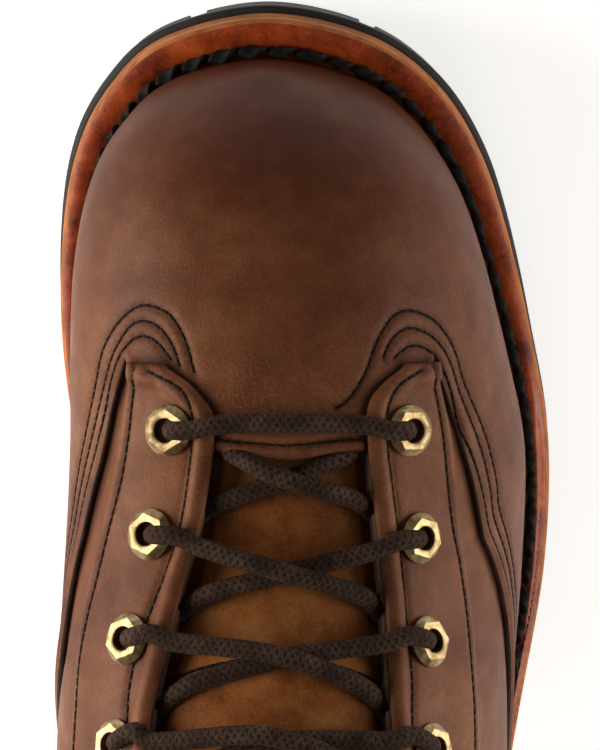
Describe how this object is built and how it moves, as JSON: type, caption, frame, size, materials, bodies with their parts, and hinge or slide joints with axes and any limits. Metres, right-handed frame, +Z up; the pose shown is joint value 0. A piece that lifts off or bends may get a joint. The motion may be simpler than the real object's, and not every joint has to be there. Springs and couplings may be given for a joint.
{
  "type": "logger boot",
  "caption": "Tall lace-up leather work boot with a stitched welt, deep lugged rubber sole, high heel and round brass eyelets, right foot.",
  "frame": {"origin": "centre of the boot's box on the floor, where heel and ball of the sole stand", "axes": "+Z up, +Y towards the toe, +X towards the outer side of the right foot"},
  "size_m": [0.1145, 0.3059, 0.2657],
  "materials": {
    "upper_leather": "oiled full grain, soft sheen",
    "facing_leather": "oiled full grain, soft sheen",
    "tongue_leather": "grained, matt",
    "insole_leather": "natural, matt",
    "welt_leather": "burnished",
    "midsole_leather": "natural edge",
    "sole_rubber": "matt, moulded",
    "eyelet_brass": "antique, satin",
    "lace_cord": "woven, matt"
  },
  "bodies": {
    "root": {"upper": "upper_leather", "facing_lateral": "facing_leather", "facing_medial": "facing_leather", "tongue": "tongue_leather", "insole": "insole_leather", "welt": "welt_leather", "midsole": "midsole_leather", "outsole": "sole_rubber", "heel": "sole_rubber", "eyelet_lateral_1": "eyelet_brass", "eyelet_lateral_2": "eyelet_brass", "eyelet_lateral_3": "eyelet_brass", "eyelet_lateral_4": "eyelet_brass", "eyelet_lateral_5": "eyelet_brass", "eyelet_lateral_6": "eyelet_brass", "eyelet_lateral_7": "eyelet_brass", "eyelet_lateral_8": "eyelet_brass", "eyelet_lateral_9": "eyelet_brass", "eyelet_lateral_10": "eyelet_brass", "eyelet_lateral_11": "eyelet_brass", "eyelet_medial_1": "eyelet_brass", "eyelet_medial_2": "eyelet_brass", "eyelet_medial_3": "eyelet_brass", "eyelet_medial_4": "eyelet_brass", "eyelet_medial_5": "eyelet_brass", "eyelet_medial_6": "eyelet_brass", "eyelet_medial_7": "eyelet_brass", "eyelet_medial_8": "eyelet_brass", "eyelet_medial_9": "eyelet_brass", "eyelet_medial_10": "eyelet_brass", "eyelet_medial_11": "eyelet_brass", "lace_bar": "lace_cord", "lace_crossing_1": "lace_cord", "lace_crossing_2": "lace_cord", "lace_crossing_3": "lace_cord", "lace_crossing_4": "lace_cord", "lace_crossing_5": "lace_cord", "lace_crossing_6": "lace_cord", "lace_crossing_7": "lace_cord", "lace_crossing_8": "lace_cord", "lace_crossing_9": "lace_cord", "lace_crossing_10": "lace_cord"}
  },
  "joints": []
}
